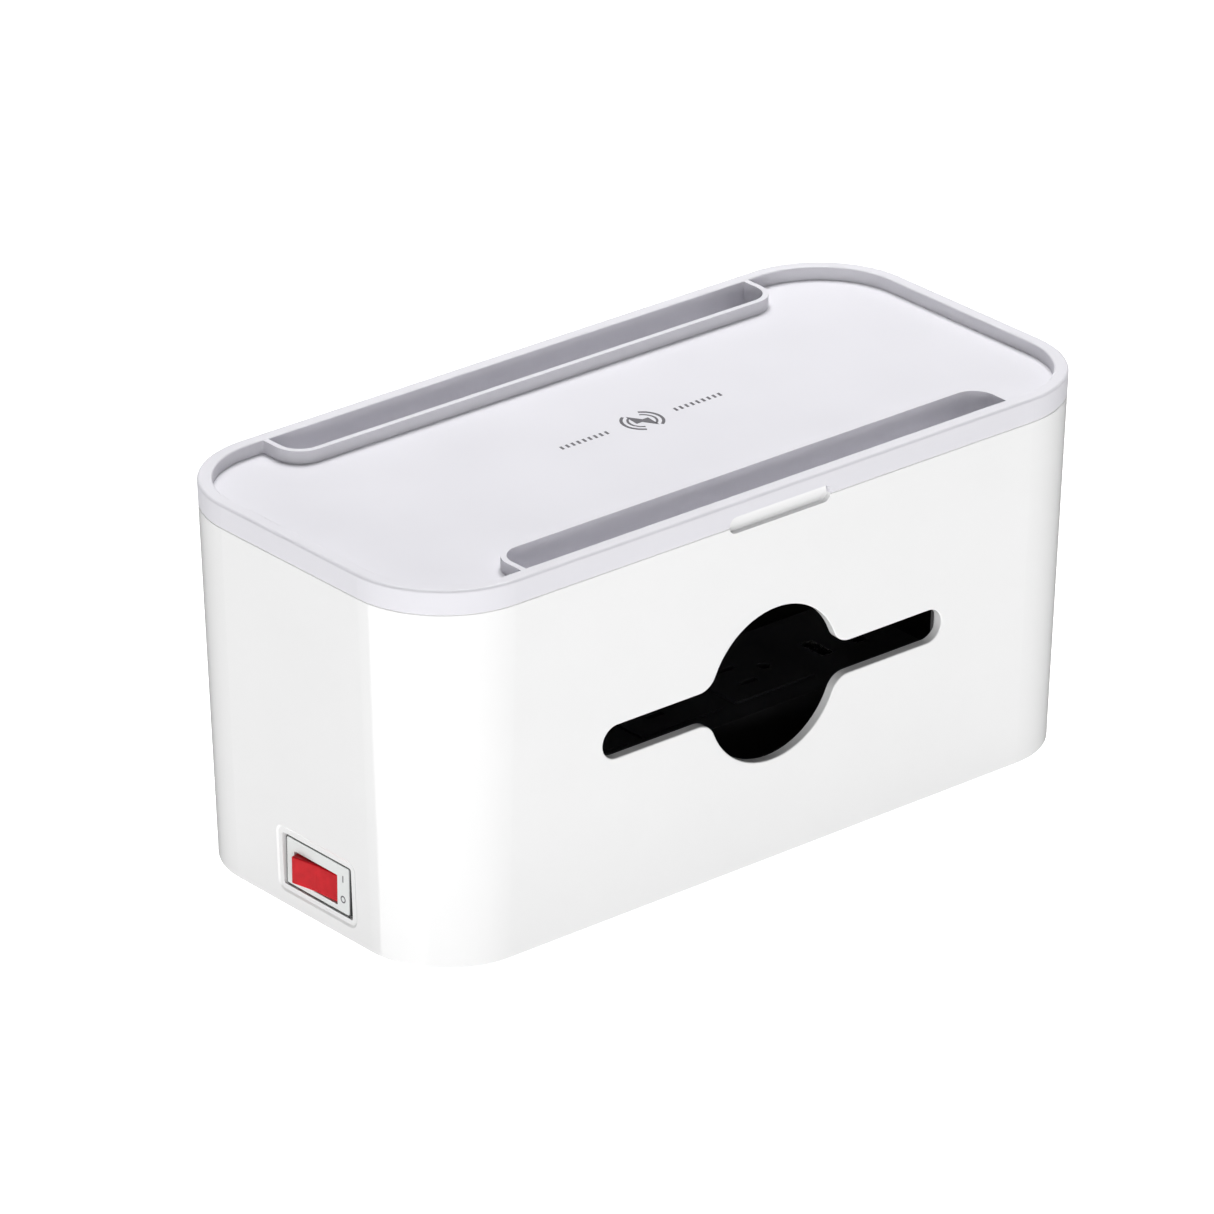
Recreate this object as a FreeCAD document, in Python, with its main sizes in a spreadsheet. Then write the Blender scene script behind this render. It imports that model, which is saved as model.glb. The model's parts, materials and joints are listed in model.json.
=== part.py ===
"""Cable management box: a drafted box with a switched power strip inside and a wireless charger in its lid.

Millimetres. X runs along the length, Y to the back, Z up; the origin is under the middle of the box, on the
surface that its rubber feet stand on. Heights called "above the shell's base" start at the shell's underside.
"""
import FreeCAD, Part
import Sketcher
import math
import os
import re

DIMENSIONS = {
    # drafted outer form
    "stand": 1.0,              # how far the rubber feet lift the shell
    "base_length": 310.76,     # shell at its underside
    "base_width": 145.38,
    "base_corner": 34.4,       # corner radius there
    "slope": 0.0332,           # how far every side leans out for each millimetre of height
    "seam_height": 139.2,      # top of the shell and underside of the lid's skirt
    "rim_height": 148.6,       # top of the lid's rim
    "base_round": 0.8,
    "rim_round": 1.1,
    "rim_inner_round": 0.7,
    "seam_bevel": 0.35,
    # shell
    "wall": 3.0,
    "opening_height": 70.94,   # middle of the front lead opening
    "opening_circle": 30.36,
    "opening_slot": 6.59,      # half height of its two side slots
    "opening_reach": 80.0,     # from its middle to the tip of a slot
    "opening_neck": 8.0,
    "opening_round": 0.5,      # on its outer edge
    "collar_depth": 3.5,       # from the outer face to the collar's end
    "collar_land": 1.8,
    "notch_length": 47.6,      # finger notch across the seam
    "notch_height": 6.5,
    "notch_middle": 139.75,
    "notch_depth": 2.2,
    "notch_play": 0.3,         # round the shell's tab that shows in the lid's half of the notch
    "tab_wall": 0.7,
    "window_length": 39.2,     # window for the switch plate
    "window_height": 20.6,
    "window_corner": 1.0,
    "window_middle": -7.9,
    "window_level": 18.8,
    "window_border": 2.9,
    "border_depth": 0.4,
    "border_taper": 65.0,      # how far the border's edge lies back, in degrees
    "switch_height": 19.25,    # middle of the switch above the shell's base
    "strip_middle": -8.3,      # middle of the switch and strip across the box
    "outlet_length": 34.0,     # mains lead outlet in the other end
    "outlet_height": 22.0,
    "outlet_corner": 8.0,
    # liner
    "liner_gap": 0.2,
    "liner_wall": 1.4,
    "liner_top": 129.0,
    # lid
    "rim_width": 5.45,
    "tray_depth": 5.1,
    "tray_plate": 2.2,
    "rib_gap": 0.3,            # between the locating rib and the shell
    "rib_wall": 1.5,
    "rib_drop": 5.0,
    "divider_face": 53.8,      # tray side of a trough's wall, from the middle
    "divider_wall": 2.2,
    "divider_reach": 114.5,
    "divider_corner": 11.0,
    "divider_drop": 0.2,       # how far a divider stays below the rim
    "trough_depth": 16.0,
    "trough_floor": 2.0,
    # power strip
    "strip_left": -148.8,
    "strip_length": 262.0,
    "strip_width": 54.0,
    "strip_height": 32.0,
    "strip_parting": 12.0,     # height of the lower housing
    "strip_wall": 2.0,
    "strip_corner": 5.0,
    "socket_start": 58.0,      # from the strip's left end to its first socket
    "socket_pitch": 45.0,
    "socket_length": 38.0,     # raised face round each socket
    "socket_width": 34.0,
    "socket_rise": 0.8,
    "blade_across": 6.35,      # blade slots from the socket's middle
    "blade_length": 8.0,
    "blade_width": 2.3,
    "earth_along": 9.0,
    "earth_radius": 2.5,
    "cover_cut": 8.0,          # tools that pass through the cover, starting half of it below the top
    "bar_width": 4.4,
    "bar_wall": 0.8,
    "leaf_wall": 0.6,
    "leaf_across": 1.6,
    "leaf_height": 13.0,
    "usb_start": 228.0,
    "usb_pitch": 17.0,
    "port_length": 13.2,
    "port_width": 5.8,
    "port_depth": 12.0,
    "port_wall": 0.35,
    "tongue_length": 11.0,
    "tongue_wall": 1.8,
    "board_wall": 1.6,
    "core_height": 12.0,
    "can_radius": 4.0,
    "can_height": 11.0,
    "gland_bore": 3.6,
    "gland_neck": 5.0,
    "gland_collar": 6.5,
    "gland_reach": 18.0,
    # switch
    "plate_face": -155.0,      # outer face of the switch plate
    "plate_middle": -7.5,
    "plate_level": 18.5,       # above the shell's base
    "plate_length": 35.1,
    "plate_height": 18.2,
    "plate_corner": 0.6,
    "plate_wall": 1.6,
    "nose_rim": 0.7,           # rim of the nose round the plate that lies in it
    "nose_step": 0.3,          # how far that rim stays behind the plate's face
    "flange_left": -150.9,
    "flange_wall": 2.0,
    "rocker_middle": -6.2,
    "rocker_level": 17.25,     # above the shell's base
    "rocker_length": 23.6,
    "rocker_height": 10.7,
    "rocker_gap": 0.5,
    "rocker_stand": 0.5,       # how far its middle stands out of the plate
    "rocker_swing": 16.0,
    "rocker_bend": 8.0,        # angle between its two halves
    "pivot_depth": 5.0,        # pivot behind the plate's face
    "pivot_radius": 1.5,
    "housing_depth": 20.0,
    "terminal_across": 9.0,
    "terminal_width": 4.8,
    # charger
    "charger_across": 7.5,     # middle of the coil from the middle of the box
    "charger_back": 7.0,
    "charger_length": 116.0,
    "charger_width": 90.0,
    "charger_depth": 8.0,
    "charger_wall": 1.8,
    "coil_radius": 24.0,
    "coil_bore": 10.0,
    "boss_across": 50.0,
    "boss_back": 37.0,
    # fasteners and feet
    "screw_radius": 1.5,
    "screw_head": 2.9,
    "box_screw_across": 112.0,
    "box_screw_back": 19.0,
    "foot_across": 118.0,
    "foot_back": 44.0,
    "foot_radius": 8.0,
    "foot_recess": 0.8,
}
SOCKETS = 4
USB_PORTS = 2
CORNERS = ((-1, -1), (-1, 1), (1, -1), (1, 1))

doc = FreeCAD.newDocument("cable_box")
sheet = doc.addObject("Spreadsheet::Sheet", "dims")
for row, (alias, value) in enumerate(DIMENSIONS.items(), start=1):
    sheet.set(f"A{row}", alias)
    sheet.set(f"B{row}", str(value))
    sheet.setAlias(f"B{row}", alias)
doc.recompute()

subparts = {}
BASE = ("Placement.Base.x", "Placement.Base.y", "Placement.Base.z")
TURNS = {
    "X": FreeCAD.Rotation(FreeCAD.Vector(0, 1, 0), 90),
    "Y": FreeCAD.Rotation(FreeCAD.Vector(1, 0, 0), -90),
    "Z": FreeCAD.Rotation(),
}


# ---------------------------------------------------------------- formulas and primitives

def cells(formula):
    """The formula with each alias written as a reference to its cell of the sheet."""
    def reference(word):
        return f"dims.{word[0]}" if word[0] in DIMENSIONS else word[0]
    return re.sub(r"[a-z_]+", reference, str(formula))


def bind(thing, sizes):
    for path, formula in sizes.items():
        thing.setExpression(path, cells(formula))


def size_of(formula):
    """The formula's value now, for the first shape of a sketch."""
    return float(sheet.evalExpression(re.sub(r"dims\.", "", cells(formula))))


def keep(node, thing):
    """Name a finished sub-part."""
    thing.Label = node
    subparts[node] = thing


def block(name, at, size):
    made = doc.addObject("Part::Box", name)
    bind(made, dict(zip(("Length", "Width", "Height"), size)))
    bind(made, dict(zip(BASE, at)))
    return made


def rod(name, at, radius, length, along="Z"):
    made = doc.addObject("Part::Cylinder", name)
    made.Placement.Rotation = TURNS[along]
    bind(made, {"Radius": radius, "Height": length})
    bind(made, dict(zip(BASE, at)))
    return made


def cone(name, at, radius_low, radius_high, length, along="Z"):
    made = doc.addObject("Part::Cone", name)
    made.Placement.Rotation = TURNS[along]
    bind(made, {"Radius1": radius_low, "Radius2": radius_high, "Height": length})
    bind(made, dict(zip(BASE, at)))
    return made


def fuse(name, parts):
    made = doc.addObject("Part::MultiFuse", name)
    made.Shapes = parts
    return made


def group(name, parts):
    """Several separate solids in one sub-part."""
    made = doc.addObject("Part::Compound", name)
    made.Links = parts
    return made


def cut(name, base, tools):
    made = doc.addObject("Part::Cut", name)
    made.Base = base
    made.Tool = tools[0] if len(tools) == 1 else group(f"{name}_tools", tools)
    return made


# ---------------------------------------------------------------- sketches and features

def new_body(name):
    return doc.addObject("PartDesign::Body", name)


def sketch_on(body, name, role, at, lean=None):
    """A sketch on one of the body's origin planes, moved by at and leaning about its own X axis."""
    sketch = body.newObject("Sketcher::SketchObject", name)
    support = next(item for item in body.Origin.OriginFeatures if item.Role == role)
    sketch.AttachmentSupport = [(support, "")]
    sketch.MapMode = "FlatFace"
    if lean:
        first_turn = FreeCAD.Rotation(FreeCAD.Vector(1, 0, 0), 1)
        sketch.AttachmentOffset = FreeCAD.Placement(FreeCAD.Vector(), first_turn)
        bind(sketch, {"AttachmentOffset.Rotation.Angle": lean})
    bind(sketch, {f"AttachmentOffset.Base.{axis}": formula for axis, formula in zip("xyz", at)})
    return sketch


def line(start, end):
    return Part.LineSegment(FreeCAD.Vector(*start, 0), FreeCAD.Vector(*end, 0))


def arc(middle, radius, first, last):
    """An arc that turns counter-clockwise from first to last, in degrees."""
    circle = Part.Circle(FreeCAD.Vector(*middle, 0), FreeCAD.Vector(0, 0, 1), radius)
    return Part.ArcOfCircle(circle, math.radians(first), math.radians(last))


def constrain(sketch, kind, *where, formula=None):
    """Add a constraint, and bind its value when it has one."""
    if formula is None:
        sketch.addConstraint(Sketcher.Constraint(kind, *where))
        return
    index = sketch.addConstraint(Sketcher.Constraint(kind, *where, size_of(formula)))
    bind(sketch, {f"Constraints[{index}]": formula})


def rounded_rectangle(sketch, length, width, radius):
    """A rectangle with round corners about the sketch's origin."""
    half_x = size_of(length) / 2
    half_y = size_of(width) / 2
    round_ = size_of(radius)
    in_x = half_x - round_
    in_y = half_y - round_
    sketch.addGeometry([
        line((-in_x, -half_y), (in_x, -half_y)), arc((in_x, -in_y), round_, 270, 360),
        line((half_x, -in_y), (half_x, in_y)), arc((in_x, in_y), round_, 0, 90),
        line((in_x, half_y), (-in_x, half_y)), arc((-in_x, in_y), round_, 90, 180),
        line((-half_x, in_y), (-half_x, -in_y)), arc((-in_x, -in_y), round_, 180, 270),
    ])
    for side in range(8):
        constrain(sketch, "Tangent", side, 2, (side + 1) % 8, 1)
    constrain(sketch, "Horizontal", 0)
    constrain(sketch, "Horizontal", 4)
    constrain(sketch, "Vertical", 2)
    constrain(sketch, "Vertical", 6)
    for corner in (3, 5, 7):
        constrain(sketch, "Equal", 1, corner)
    constrain(sketch, "Symmetric", 1, 3, 5, 3, -1, 1)
    constrain(sketch, "Radius", 1, formula=radius)
    constrain(sketch, "DistanceX", 6, 1, 2, 1, formula=length)
    constrain(sketch, "DistanceY", 0, 1, 4, 1, formula=width)


def obround(sketch, length, height):
    """A slot with full round ends about the sketch's origin."""
    radius = size_of(height) / 2
    reach = size_of(length) / 2 - radius
    sketch.addGeometry([
        line((-reach, -radius), (reach, -radius)), arc((reach, 0), radius, -90, 90),
        line((reach, radius), (-reach, radius)), arc((-reach, 0), radius, 90, 270),
    ])
    for side in range(4):
        constrain(sketch, "Tangent", side, 2, (side + 1) % 4, 1)
    constrain(sketch, "Horizontal", 0)
    constrain(sketch, "Horizontal", 2)
    constrain(sketch, "Symmetric", 1, 3, 3, 3, -1, 1)
    constrain(sketch, "Radius", 1, formula=f"({height}) / 2")
    constrain(sketch, "DistanceX", 3, 3, 1, 3, formula=f"({length}) - ({height})")


def lead_opening(sketch, grow):
    """A circle with a slot to each side and rounded necks, grown outwards by grow."""
    circle = f"opening_circle + {grow}"
    slot = f"opening_slot + {grow}"
    neck = f"opening_neck - ({grow})"
    reach = "opening_reach - opening_slot"
    circle_radius, slot_radius, neck_radius, end = (size_of(text) for text in (circle, slot, neck, reach))
    neck_y = slot_radius + neck_radius
    neck_x = math.sqrt((circle_radius + neck_radius) ** 2 - neck_y ** 2)
    turn = math.degrees(math.atan2(neck_y, neck_x))
    sketch.addGeometry([
        arc((0, 0), circle_radius, turn, 180 - turn),
        arc((-neck_x, neck_y), neck_radius, -90, -turn),
        line((-neck_x, slot_radius), (-end, slot_radius)),
        arc((-end, 0), slot_radius, 90, 270),
        line((-end, -slot_radius), (-neck_x, -slot_radius)),
        arc((-neck_x, -neck_y), neck_radius, turn, 90),
        arc((0, 0), circle_radius, 180 + turn, 360 - turn),
        arc((neck_x, -neck_y), neck_radius, 90, 180 - turn),
        line((neck_x, -slot_radius), (end, -slot_radius)),
        arc((end, 0), slot_radius, -90, 90),
        line((end, slot_radius), (neck_x, slot_radius)),
        arc((neck_x, neck_y), neck_radius, 180 + turn, 270),
    ])
    necks = (1, 5, 7, 11)      # they turn the other way, so each is met at its end and left at its start
    for side in range(12):
        following = (side + 1) % 12
        last = 1 if side in necks else 2
        first = 2 if following in necks else 1
        constrain(sketch, "Tangent", side, last, following, first)
    for circle_arc in (0, 6):
        constrain(sketch, "Coincident", circle_arc, 3, -1, 1)
    constrain(sketch, "Equal", 0, 6)
    for other in (5, 7, 11):
        constrain(sketch, "Equal", 1, other)
    for level in (2, 4, 8, 10):
        constrain(sketch, "Horizontal", level)
    constrain(sketch, "Equal", 3, 9)
    constrain(sketch, "PointOnObject", 3, 3, -1)
    constrain(sketch, "PointOnObject", 9, 3, -1)
    constrain(sketch, "Radius", 0, formula=circle)
    constrain(sketch, "Radius", 1, formula=neck)
    constrain(sketch, "Radius", 9, formula=slot)
    constrain(sketch, "DistanceX", -1, 1, 9, 3, formula=reach)
    constrain(sketch, "DistanceX", 3, 3, -1, 1, formula=reach)


def trough_outline(sketch, length, depth, radius):
    """A U against the rim: straight ends from the sketch's X axis, round corners, a long straight side."""
    half = size_of(length) / 2
    far = size_of(depth)
    round_ = size_of(radius)
    sketch.addGeometry([
        line((-half, 0), (half, 0)), line((half, 0), (half, far - round_)),
        arc((half - round_, far - round_), round_, 0, 90),
        line((half - round_, far), (round_ - half, far)),
        arc((round_ - half, far - round_), round_, 90, 180), line((-half, far - round_), (-half, 0)),
    ])
    constrain(sketch, "Coincident", 0, 2, 1, 1)
    constrain(sketch, "Coincident", 5, 2, 0, 1)
    for side in range(1, 5):
        constrain(sketch, "Tangent", side, 2, side + 1, 1)
    constrain(sketch, "Horizontal", 0)
    constrain(sketch, "Horizontal", 3)
    constrain(sketch, "Vertical", 1)
    constrain(sketch, "Vertical", 5)
    constrain(sketch, "Equal", 2, 4)
    constrain(sketch, "PointOnObject", 0, 2, -1)
    constrain(sketch, "Radius", 2, formula=radius)
    constrain(sketch, "DistanceX", 0, 1, 0, 2, formula=length)
    constrain(sketch, "DistanceX", -1, 1, 0, 2, formula=f"({length}) / 2")
    constrain(sketch, "DistanceY", 0, 2, 3, 1, formula=depth)


def four_circles(sketch, across, back, radius):
    """Four equal circles at the corners of a rectangle about the sketch's origin."""
    x, y, round_ = size_of(across), size_of(back), size_of(radius)
    for place in ((x, y), (-x, y), (-x, -y), (x, -y)):
        sketch.addGeometry(Part.Circle(FreeCAD.Vector(*place, 0), FreeCAD.Vector(0, 0, 1), round_))
    for other in (1, 2, 3):
        constrain(sketch, "Equal", 0, other)
    constrain(sketch, "Symmetric", 0, 3, 1, 3, -2)
    constrain(sketch, "Symmetric", 0, 3, 2, 3, -1, 1)
    constrain(sketch, "Symmetric", 0, 3, 3, 3, -1)
    constrain(sketch, "Radius", 0, formula=radius)
    constrain(sketch, "DistanceX", -1, 1, 0, 3, formula=across)
    constrain(sketch, "DistanceY", -1, 1, 0, 3, formula=back)


def drafted_form(name, low, high, inset):
    """The drafted solid between two heights above the shell's base, drawn in by inset all round."""
    levels = []
    for end, height in (("low", low), ("high", high)):
        sketch = doc.addObject("Sketcher::SketchObject", f"{name}_{end}")
        bind(sketch, {"Placement.Base.z": f"stand + {height}"})
        spread = f"2 * slope * ({height}) - 2 * ({inset})"
        rounded_rectangle(sketch, f"base_length + {spread}", f"base_width + {spread}",
                          f"base_corner + slope * ({height}) - ({inset})")
        levels.append(sketch)
    loft = doc.addObject("Part::Loft", name)
    loft.Sections = levels
    loft.Solid = True
    loft.Ruled = True
    return loft


def body_from(name, form):
    """A body that starts from a finished solid."""
    body = new_body(name)
    doc.recompute()
    body.BaseFeature = form
    doc.recompute()
    return body


def pad(body, name, sketch, length, back=False):
    made = body.newObject("PartDesign::Pad", name)
    made.Profile = sketch
    made.Reversed = back
    bind(made, {"Length": length})
    return made


def pocket(body, name, sketch, length, back=False, both=False, taper=None):
    made = body.newObject("PartDesign::Pocket", name)
    made.Profile = sketch
    made.Reversed = back
    made.Midplane = both
    bind(made, {"Length": length})
    if taper:
        bind(made, {"TaperAngle": taper})
    return made


def dress(body, kind, name, base, size, wanted):
    """A fillet or chamfer on the edges of base that the wanted test picks."""
    doc.recompute()
    edges = [f"Edge{index}" for index, edge in enumerate(base.Shape.Edges, start=1) if wanted(edge)]
    made = body.newObject(f"PartDesign::{kind}", name)
    made.Base = (base, edges)
    bind(made, {"Radius" if kind == "Fillet" else "Size": size})
    return made


def outer_edge(height):
    """A test for the edges of the drafted form's outline at one height above the shell's base."""
    level = size_of(f"stand + {height}")
    far_x = size_of(f"base_length / 2 + slope * ({height}) - wall / 2")
    far_y = size_of(f"base_width / 2 + slope * ({height}) - wall / 2")

    def wanted(edge):
        box = edge.BoundBox
        at_level = abs(box.ZMin - level) < 0.01 and abs(box.ZMax - level) < 0.01
        return at_level and (max(-box.XMin, box.XMax) > far_x or max(-box.YMin, box.YMax) > far_y)
    return wanted


def inner_edge(height, inset):
    """A test for the edges of an outline drawn in by inset from the drafted form at one height."""
    level = size_of(f"stand + {height}")
    far_x = size_of(f"base_length / 2 + slope * ({height}) - {inset}")
    far_y = size_of(f"base_width / 2 + slope * ({height}) - {inset}")

    def wanted(edge):
        box = edge.BoundBox
        at_level = abs(box.ZMin - level) < 0.01 and abs(box.ZMax - level) < 0.01
        inside = max(-box.XMin, box.XMax) < far_x + 0.01 and max(-box.YMin, box.YMax) < far_y + 0.01
        return at_level and inside
    return wanted


LEAN = "atan(slope)"


def front_sketch(body, name, height, inset="0"):
    """A sketch in the drafted front face or inset behind it, at a height above the shell's base."""
    face = f"base_width / 2 + slope * ({height}) - {inset}"
    return sketch_on(body, name, "XZ_Plane", ("0", f"stand + {height}", face), LEAN)


def end_sketch(body, name, side, middle, height):
    """A sketch in a drafted end face, -1 left or 1 right, its origin at middle and height."""
    face = f"{side} * (base_length / 2 + slope * ({height}))"
    return sketch_on(body, name, "YZ_Plane", (middle, f"stand + {height}", face), f"{side} * {LEAN}")


def opening_edge(edge):
    """A test for the front opening's edges in the outer face."""
    reach = size_of("opening_reach + 1")
    height = size_of("opening_circle + 1")
    middle = size_of("stand + opening_height")

    def on_face(point):
        level = point.z - size_of("stand")
        return abs(point.y + size_of("base_width / 2") + size_of("slope") * level) < 0.01
    box = edge.BoundBox
    near = max(-box.XMin, box.XMax) < reach and max(middle - box.ZMin, box.ZMax - middle) < height
    return near and all(on_face(vertex.Point) for vertex in edge.Vertexes)


# ---------------------------------------------------------------- shell and liner

def outer_shell():
    outside = drafted_form("shell_outside", "0", "seam_height", "0")
    cavity = drafted_form("shell_cavity", "wall", "seam_height", "wall")
    body = body_from("outer_shell_body", cut("shell_form", outside, [cavity]))
    rounded = dress(body, "Fillet", "shell_base_round", body.Tip, "base_round", outer_edge("0"))
    dress(body, "Chamfer", "shell_seam_bevel", rounded, "seam_bevel", outer_edge("seam_height"))

    collar = front_sketch(body, "collar_outline", "opening_height")
    lead_opening(collar, "collar_land")
    pad(body, "opening_collar", collar, "collar_depth", back=True)
    opening = front_sketch(body, "opening_outline", "opening_height")
    lead_opening(opening, "0")
    opened = pocket(body, "front_opening", opening, "4 * collar_depth", both=True)
    dress(body, "Fillet", "opening_edge_round", opened, "opening_round", opening_edge)

    tab = front_sketch(body, "notch_tab_outline", "notch_middle", "notch_depth")
    obround(tab, "notch_length - 2 * notch_play", "notch_height - 2 * notch_play")
    pad(body, "notch_tab", tab, "tab_wall", back=True)
    notch = front_sketch(body, "shell_notch_outline", "notch_middle")
    obround(notch, "notch_length", "notch_height")
    pocket(body, "shell_notch", notch, "notch_depth")

    border = end_sketch(body, "border_outline", -1, "window_middle", "window_level")
    rounded_rectangle(border, "window_length + 2 * window_border", "window_height + 2 * window_border",
                      "window_corner + window_border")
    pocket(body, "window_border_recess", border, "border_depth", back=True, taper="-border_taper")
    window = end_sketch(body, "window_outline", -1, "window_middle", "window_level")
    rounded_rectangle(window, "window_length", "window_height", "window_corner")
    pocket(body, "switch_window", window, "6 * wall", both=True)
    outlet = end_sketch(body, "outlet_outline", 1, "strip_middle", "switch_height")
    rounded_rectangle(outlet, "outlet_length", "outlet_height", "outlet_corner")
    pocket(body, "lead_outlet", outlet, "6 * wall", both=True)

    feet = sketch_on(body, "foot_outline", "XY_Plane", ("0", "0", "stand"))
    four_circles(feet, "foot_across", "foot_back", "foot_radius + 0.2")
    pocket(body, "foot_recesses", feet, "foot_recess", back=True)
    under_strip = ("strip_left + strip_length / 2", "strip_middle", "stand")
    heads = sketch_on(body, "head_outline", "XY_Plane", under_strip)
    four_circles(heads, "box_screw_across", "box_screw_back", "screw_head + 0.3")
    pocket(body, "screw_head_recesses", heads, "wall / 2", back=True)
    shanks = sketch_on(body, "shank_outline", "XY_Plane", under_strip)
    four_circles(shanks, "box_screw_across", "box_screw_back", "screw_radius + 0.2")
    pocket(body, "screw_holes", shanks, "2 * wall", back=True)
    keep("outer_shell", body)


def inner_liner():
    outside = "wall + liner_gap"
    inside = f"{outside} + liner_wall"
    form = drafted_form("liner_outside", outside, "liner_top", outside)
    cavity = drafted_form("liner_cavity", inside, "liner_top", inside)
    body = body_from("inner_liner_body", cut("liner_form", form, [cavity]))
    opening = front_sketch(body, "liner_opening_outline", "opening_height")
    lead_opening(opening, "collar_land + liner_gap")
    pocket(body, "liner_opening", opening, "6 * wall", both=True)
    window = end_sketch(body, "liner_window_outline", -1, "window_middle", "window_level")
    rounded_rectangle(window, "window_length", "window_height", "window_corner")
    pocket(body, "liner_window", window, "6 * wall", both=True)
    outlet = end_sketch(body, "liner_outlet_outline", 1, "strip_middle", "switch_height")
    rounded_rectangle(outlet, "outlet_length", "outlet_height", "outlet_corner")
    pocket(body, "liner_outlet", outlet, "6 * wall", both=True)
    shanks = sketch_on(body, "liner_shank_outline", "XY_Plane",
                       ("strip_left + strip_length / 2", "strip_middle", "stand"))
    four_circles(shanks, "box_screw_across", "box_screw_back", "screw_radius + 0.2")
    pocket(body, "liner_screw_holes", shanks, "3 * wall", back=True)
    keep("inner_liner", body)


def rubber_feet():
    feet = []
    for x_side, y_side in CORNERS:
        at = (f"{x_side} * foot_across", f"{y_side} * foot_back", "0")
        feet.append(rod("foot", at, "foot_radius", "stand + foot_recess"))
    keep("rubber_feet", group("feet", feet))


# ---------------------------------------------------------------- lid and charger

def lid_tray():
    under_plate = "rim_height - tray_depth - tray_plate"
    rib_outside = "wall + rib_gap"
    rib_inside = f"{rib_outside} + rib_wall"
    slab = drafted_form("lid_slab", "seam_height", "rim_height", "0")
    rib = drafted_form("locating_rib", "seam_height - rib_drop", "seam_height + 1", rib_outside)
    underside = drafted_form("lid_underside", "seam_height - rib_drop", under_plate, rib_inside)
    body = body_from("lid_tray_body", cut("lid_form", fuse("lid_blank", [slab, rib]), [underside]))
    rounded = dress(body, "Fillet", "rim_outer_round", body.Tip, "rim_round", outer_edge("rim_height"))
    dress(body, "Chamfer", "lid_seam_bevel", rounded, "seam_bevel", outer_edge("seam_height"))

    tray = sketch_on(body, "tray_outline", "XY_Plane", ("0", "0", "stand + rim_height"))
    spread = "2 * slope * rim_height - 2 * rim_width"
    rounded_rectangle(tray, f"base_length + {spread}", f"base_width + {spread}",
                      "base_corner + slope * rim_height - rim_width")
    recess = pocket(body, "tray_recess", tray, "tray_depth")
    rim_edge = inner_edge("rim_height", "rim_width")
    dress(body, "Fillet", "rim_inner_round", recess, "rim_inner_round", rim_edge)

    rim_inside = "base_width / 2 + slope * rim_height - rim_width"
    top = "stand + rim_height - divider_drop"
    outer = sketch_on(body, "divider_outline", "XY_Plane", ("0", f"-({rim_inside}) - 1.6", top))
    trough_outline(outer, "2 * divider_reach", f"{rim_inside} + 1.6 - divider_face", "divider_corner")
    divider = pad(body, "trough_wall", outer, "trough_depth + trough_floor - divider_drop", back=True)
    at = ("0", f"-({rim_inside})", "stand + rim_height")
    inner = sketch_on(body, "trough_inner_outline", "XY_Plane", at)
    trough_outline(inner, "2 * (divider_reach - divider_wall)",
                   f"{rim_inside} - divider_face - divider_wall", "divider_corner - divider_wall")
    trough = pocket(body, "trough_hollow", inner, "trough_depth")
    mirrored = body.newObject("PartDesign::Mirrored", "back_trough")
    mirrored.Originals = [divider, trough]
    middle_plane = next(item for item in body.Origin.OriginFeatures if item.Role == "XZ_Plane")
    mirrored.MirrorPlane = (middle_plane, [""])
    body.Tip = mirrored

    notch = front_sketch(body, "lid_notch_outline", "notch_middle")
    obround(notch, "notch_length", "notch_height")
    pocket(body, "lid_notch", notch, "notch_depth + tab_wall + notch_play")

    at = ("charger_across", "charger_back", f"stand + {under_plate}")
    bosses = sketch_on(body, "boss_outline", "XY_Plane", at)
    four_circles(bosses, "boss_across", "boss_back", "2 * screw_radius")
    pad(body, "charger_bosses", bosses, "charger_depth - charger_wall", back=True)
    pilots = sketch_on(body, "pilot_outline", "XY_Plane",
                       ("charger_across", "charger_back", f"stand + {under_plate} - charger_depth"))
    four_circles(pilots, "boss_across", "boss_back", "screw_radius + 0.05")
    pocket(body, "pilot_holes", pilots, "charger_depth", back=True)
    keep("lid_tray", body)


CHARGER_TOP = "stand + rim_height - tray_depth - tray_plate"
CHARGER_BASE = f"{CHARGER_TOP} - charger_depth"


def charger_cover():
    body = new_body("charger_cover_body")
    low = ("charger_across", "charger_back", CHARGER_BASE)
    outline = sketch_on(body, "cover_outline", "XY_Plane", low)
    rounded_rectangle(outline, "charger_length", "charger_width", "10")
    pad(body, "cover_block", outline, "charger_depth")
    high = ("charger_across", "charger_back", CHARGER_TOP)
    hollow = sketch_on(body, "cover_hollow_outline", "XY_Plane", high)
    rounded_rectangle(hollow, "charger_length - 2 * charger_wall", "charger_width - 2 * charger_wall",
                      "10 - charger_wall")
    pocket(body, "cover_hollow", hollow, "charger_depth - charger_wall")
    holes = sketch_on(body, "cover_hole_outline", "XY_Plane", low)
    four_circles(holes, "boss_across", "boss_back", "screw_radius + 0.2")
    pocket(body, "cover_screw_holes", holes, "2 * charger_wall", back=True)
    inlet = block("cover_inlet_cut", ("charger_across - charger_length / 2 - 1", "charger_back - 4.7",
                                      f"{CHARGER_BASE} + 2.4"), ("4", "9.4", "3.6"))
    keep("charger_cover", cut("cover_with_inlet", body, [inlet]))


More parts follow.
